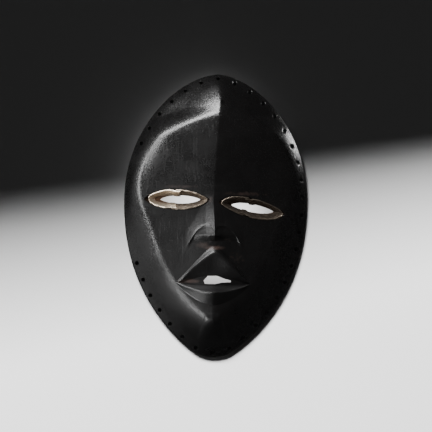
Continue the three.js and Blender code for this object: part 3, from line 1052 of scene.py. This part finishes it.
class Finish:
    """A material under construction"""

    def __init__(self, name):
        self.material = bpy.data.materials.new(name)
        self.material.use_nodes = True
        self.tree = self.material.node_tree
        self.tree.nodes.clear()

    def node(self, kind, settings=None, sockets=None, output=0):
        """Any node: its settings are set first, then its sockets get values or links"""
        node = self.tree.nodes.new(kind)
        for name, setting in (settings or {}).items():
            if name == "stops":
                self.set_stops(node.color_ramp.elements, setting)
            else:
                setattr(node, name, setting)
        for key, value in (sockets or {}).items():
            if isinstance(value, Value):
                self.tree.links.new(value.socket, node.inputs[key])
            else:
                node.inputs[key].default_value = value
        return None if output is None else Value(self, node.outputs[output])

    def set_stops(self, elements, stops):
        while len(elements) < len(stops):
            elements.new(1)
        for element, (place, level) in zip(elements, stops):
            element.position = place
            element.color = (level, level, level, 1)

    def place(self, scale=(1, 1, 1), turn=0.0):
        """Object coordinates, stretched and turned about the upright axis"""
        spot = self.node("ShaderNodeTexCoord", output="Object")
        sockets = {"Vector": spot, "Scale": scale, "Rotation": (0, 0, turn)}
        return self.node("ShaderNodeMapping", sockets=sockets)

    def noise(self, place, size, detail=2.0, roughness=0.5):
        """Noise whose marks are about the given size"""
        sockets = {"Vector": place, "Scale": 1 / size, "Detail": detail, "Roughness": roughness}
        return self.node("ShaderNodeTexNoise", sockets=sockets)

    def ramp(self, value, *stops):
        return self.node("ShaderNodeValToRGB", {"stops": stops}, {0: value})

    def mix(self, factor, first, second):
        """A mix of two colours"""
        sockets = {0: factor, 6: first, 7: second}
        return self.node("ShaderNodeMix", {"data_type": "RGBA"}, sockets, output=2)

    def attribute(self, name):
        return self.node("ShaderNodeAttribute", {"attribute_name": name}, output="Fac")

    def bump(self, height, distance, under=None):
        sockets = {"Height": height, "Distance": distance, "Strength": 1.0}
        if under:
            sockets["Normal"] = under
        return self.node("ShaderNodeBump", sockets=sockets)

    def close(self, sockets):
        """Ends the material in its shader"""
        shader = self.node("ShaderNodeBsdfPrincipled", sockets=sockets)
        self.node("ShaderNodeOutputMaterial", sockets={"Surface": shader}, output=None)
        return self.material


def colour(rgb, factor=1.0):
    return (*(part * factor for part in rgb), 1)


def blackened_wood(colours):
    """Glossy black patina, rubbed brown in places, over adzed bare wood in the hollow"""
    finish = Finish("blackened_wood")
    place = finish.place()
    along_grain = finish.place(scale=(1, 0.08, 1))
    along_scratches = finish.place(scale=(1, 0.03, 1), turn=0.5)
    across_scratches = finish.place(scale=(0.03, 1, 1), turn=0.3)
    grain = finish.noise(along_grain, size=0.9 * MM, detail=3, roughness=0.6)
    clouds = finish.noise(place, size=14 * MM, detail=3)
    speckle = finish.noise(place, size=1.3 * MM, detail=3, roughness=0.6)
    scratches = finish.noise(along_scratches, size=1.2 * MM, detail=1)
    scratches = finish.ramp(scratches, (0.64, 0), (0.7, 1))
    cross = finish.noise(across_scratches, size=1.4 * MM, detail=1)
    cross = finish.ramp(cross, (0.66, 0), (0.72, 1))
    worn_edge = finish.noise(place, size=3 * MM, detail=4, roughness=0.65)
    worn = finish.attribute("worn")
    raw = finish.attribute("raw")
    dull = finish.attribute("dull")
    rubbed = finish.ramp(worn + (worn_edge - 0.5) * 0.7, (0.28, 0), (0.75, 1))
    black = finish.mix(clouds, colour(colours.patina), colour(colours.patina, 1.7))
    face = finish.mix(rubbed, black, colour(colours.worn))
    pale = finish.mix(grain, colour(colours.raw, 0.55), colour(colours.raw))
    stained = finish.mix(clouds * 0.6, pale, colour(colours.raw, 0.3))
    gloss = 0.27 + (clouds - 0.5) * 0.14 + (speckle - 0.5) * 0.16 + scratches * 0.1 + cross * 0.08
    relief = finish.bump(speckle + grain * 0.4, distance=0.16 * MM)
    relief = finish.bump(1 - (scratches + cross) * 0.5, distance=0.03 * MM, under=relief)
    relief = finish.bump(worn_edge * (raw * 0.9 + 0.1), distance=0.12 * MM, under=relief)
    return finish.close(
        {
            "Base Color": finish.mix(raw, face, stained),
            "Roughness": gloss + rubbed * 0.15 + dull * 0.2 + raw * 0.3,
            "Normal": relief,
        }
    )


def eye_metal(colours):
    """Thin hammered sheet, bright where the attribute says, dull and spotted elsewhere; the
    attribute holds rubbed polish and, strip by strip, painted light and shade
    """
    finish = Finish("eye_metal")
    place = finish.place()
    mottle = finish.noise(place, size=2.6 * MM, detail=4, roughness=0.6)
    spots = finish.ramp(finish.noise(place, size=1.1 * MM), (0.6, 0), (0.68, 1))
    polish = finish.attribute("polish")
    bright = finish.ramp(polish + (mottle - 0.5) * 0.9, (0.1, 0), (0.95, 1))
    sheet = finish.mix(bright, colour(colours.dull_metal), colour(colours.bright_metal))
    return finish.close(
        {
            "Base Color": finish.mix(spots * 0.5, sheet, colour(colours.dull_metal, 0.5)),
            "Metallic": 0.75,
            "Roughness": 0.5 - bright * 0.12 + spots * 0.15,
            "Normal": finish.bump(mottle + spots * 0.3, distance=0.15 * MM),
        }
    )


def pale_floor(colours):
    finish = Finish("floor")
    drift = finish.noise(finish.place(), size=0.4)
    tone = finish.mix(drift, colour(colours.floor), colour(colours.floor, 0.96))
    return finish.close({"Base Color": tone, "Roughness": 0.65})


# Studio


def add_panel(name, bearing, rise, size, brightness, distance=PANEL_DISTANCE, kind="gloss"):
    """A rectangular light panel, placed by its bearing from +X and its rise over the floor.

    A gloss panel only shows in the shine of things, a wash panel only lights their colour.
    """
    light = bpy.data.lights.new(name, "AREA")
    light.shape = "RECTANGLE"
    light.size, light.size_y = size
    light.energy = brightness * math.pi * size[0] * size[1]
    panel = bpy.data.objects.new(name, light)
    turn, lift = math.radians(bearing), math.radians(rise)
    out = math.cos(lift)
    way = Vector((math.cos(turn) * out, math.sin(turn) * out, math.sin(lift)))
    panel.location = distance * way
    panel.rotation_euler = way.to_track_quat("Z", "Y").to_euler()
    panel.visible_glossy = kind == "gloss"
    panel.visible_diffuse = kind == "wash"
    panel.visible_camera = False
    bpy.context.scene.collection.objects.link(panel)
    return panel


def add_flag(light, left, right):
    """A board that keeps a light off the upper floor, and so sets where the floor turns dark.

    Left and right give a point of the dark's edge on the floor, and how high the board hangs
    there: the higher it hangs, the softer its edge.
    """
    corners = []
    for side in (left, right):
        foot = Vector(side["foot"])
        corners.append(foot + (light.location - foot) * side["hang"] / light.location.z)
    along = corners[1] - corners[0]
    bm = bmesh.new()
    bmesh.ops.create_grid(bm, x_segments=1, y_segments=1, size=1)
    for vert in bm.verts:
        back = Vector((0, (vert.co.y + 1) * FLAG_HALF_DEPTH, 0))
        vert.co = corners[0] + along * (0.5 + 2 * vert.co.x) + back
    flag = new_piece("flag", bm)
    flag.visible_camera = False
    flag.visible_glossy = False
    flag.visible_diffuse = False
    return flag


def add_camera():
    """Straight over the lying mask, far enough to keep its proportions"""
    camera = bpy.data.cameras.new("camera")
    camera.sensor_fit = "HORIZONTAL"
    camera.angle = 2 * math.atan(IMAGE_PIXELS * PIXEL / 2 / (CAMERA_RISE - RIM_HEIGHT))
    seat = bpy.data.objects.new("camera", camera)
    seat.location = (CAMERA_ASIDE, 0, CAMERA_RISE)
    seat.rotation_euler = (0, 0, CAMERA_TURN)
    bpy.context.scene.collection.objects.link(seat)
    bpy.context.scene.camera = seat


def add_floor_light(floor):
    """The light of the floor alone, kept off its upper part"""
    light = add_panel("floor_light", **FLOOR_LIGHT)
    lit = bpy.data.collections.new("lit_floor")
    lit.objects.link(floor)
    light.light_linking.receiver_collection = lit
    return add_flag(light, FLAG_LEFT, FLAG_RIGHT)


def add_lights(floor):
    """All lamps. The panels round the mask neither light the floor nor are held up by it"""
    flag = add_floor_light(floor)
    panels = [add_panel(name, **panel) for name, panel in PANELS.items()]
    add_panel("under_mask", **UNDER_MASK)
    aside = bpy.data.collections.new("aside_of_panels")
    for stage in (floor, flag):
        aside.objects.link(stage)
    for entry in aside.collection_objects:
        entry.light_linking.link_state = "EXCLUDE"
    for panel in panels:
        panel.light_linking.blocker_collection = aside
        panel.light_linking.receiver_collection = aside


def add_world():
    world = bpy.data.worlds.new("studio")
    world.use_nodes = True
    world.node_tree.nodes["Background"].inputs["Color"].default_value = (0.02, 0.02, 0.02, 1)
    bpy.context.scene.world = world


# Operators


class CARVEDMASK_OT_carve_wood(bpy.types.Operator):
    """Carve the wooden mask and cut its openings"""

    bl_idname = "carved_mask.carve_wood"
    bl_label = "Carve wood"

    def execute(self, context):
        sizes = context.scene.mask_sizes
        wood = carve_blank(sizes)
        cut_openings(wood, sizes)
        if len(wood.data.polygons) < sizes.spokes * FACE_RINGS:
            raise RuntimeError("the openings cut away the wood")
        smooth_faces(wood)
        points = [vert.co for vert in wood.data.vertices]
        write_attribute(wood, "worn", [worn_at(point) for point in points])
        write_attribute(wood, "raw", [raw_at(point) for point in points])
        write_attribute(wood, "dull", [dull_at(point) for point in points])
        wood.data.materials.clear()
        wood.data.materials.append(blackened_wood(context.scene.mask_colours))
        attach(wood, "mask_body")
        return {"FINISHED"}


class CARVEDMASK_OT_bend_strips(bpy.types.Operator):
    """Bend the metal strips into the eye holes"""

    bl_idname = "carved_mask.bend_strips"
    bl_label = "Bend strips"

    def execute(self, context):
        sizes = context.scene.mask_sizes
        metal = eye_metal(context.scene.mask_colours)
        for side, eye in EYES.items():
            over, under = strip_spans(eye)
            for place, span in (("temple", over), ("nose", under)):
                strip = shape_strip(f"{side}_{place}_strip", eye, span, place == "temple", sizes)
                # Each strip's level is partly polish and partly painted light and shade
                level = STRIP_POLISH_AND_LIGHT[f"{side}_{place}"]
                write_attribute(strip, "polish", [level] * len(strip.data.vertices))
                strip.data.materials.append(metal)
                attach(strip, f"{side}_eye_{place}_strip")
        return {"FINISHED"}


class CARVEDMASK_OT_set_stage(bpy.types.Operator):
    """Set the floor, the lights and the camera"""

    bl_idname = "carved_mask.set_stage"
    bl_label = "Set stage"

    def execute(self, context):
        bm = bmesh.new()
        bmesh.ops.create_grid(bm, x_segments=8, y_segments=8, size=FLOOR_HALF)
        floor = new_piece("floor", bm)
        floor.data.materials.append(pale_floor(context.scene.mask_colours))
        floor.visible_glossy = False
        add_world()
        add_lights(floor)
        add_camera()
        return {"FINISHED"}


class CARVEDMASK_PT_panel(bpy.types.Panel):
    """The mask's tools in the sidebar"""

    bl_idname = "CARVEDMASK_PT_panel"
    bl_label = "Carved mask"
    bl_space_type = "VIEW_3D"
    bl_region_type = "UI"
    bl_category = "Mask"

    def draw(self, context):
        for tool in (CARVEDMASK_OT_carve_wood, CARVEDMASK_OT_bend_strips, CARVEDMASK_OT_set_stage):
            self.layout.operator(tool.bl_idname)


CLASSES = (
    MaskSizes,
    MaskColours,
    CARVEDMASK_OT_carve_wood,
    CARVEDMASK_OT_bend_strips,
    CARVEDMASK_OT_set_stage,
    CARVEDMASK_PT_panel,
)


def register():
    for cls in CLASSES:
        bpy.utils.register_class(cls)
    bpy.types.Scene.mask_sizes = bpy.props.PointerProperty(type=MaskSizes)
    bpy.types.Scene.mask_colours = bpy.props.PointerProperty(type=MaskColours)


def unregister():
    del bpy.types.Scene.mask_colours
    del bpy.types.Scene.mask_sizes
    for cls in reversed(CLASSES):
        bpy.utils.unregister_class(cls)


def main():
    register()
    bpy.ops.carved_mask.set_stage()
    bpy.ops.carved_mask.carve_wood()
    bpy.ops.carved_mask.bend_strips()


if __name__ == "__main__":
    main()
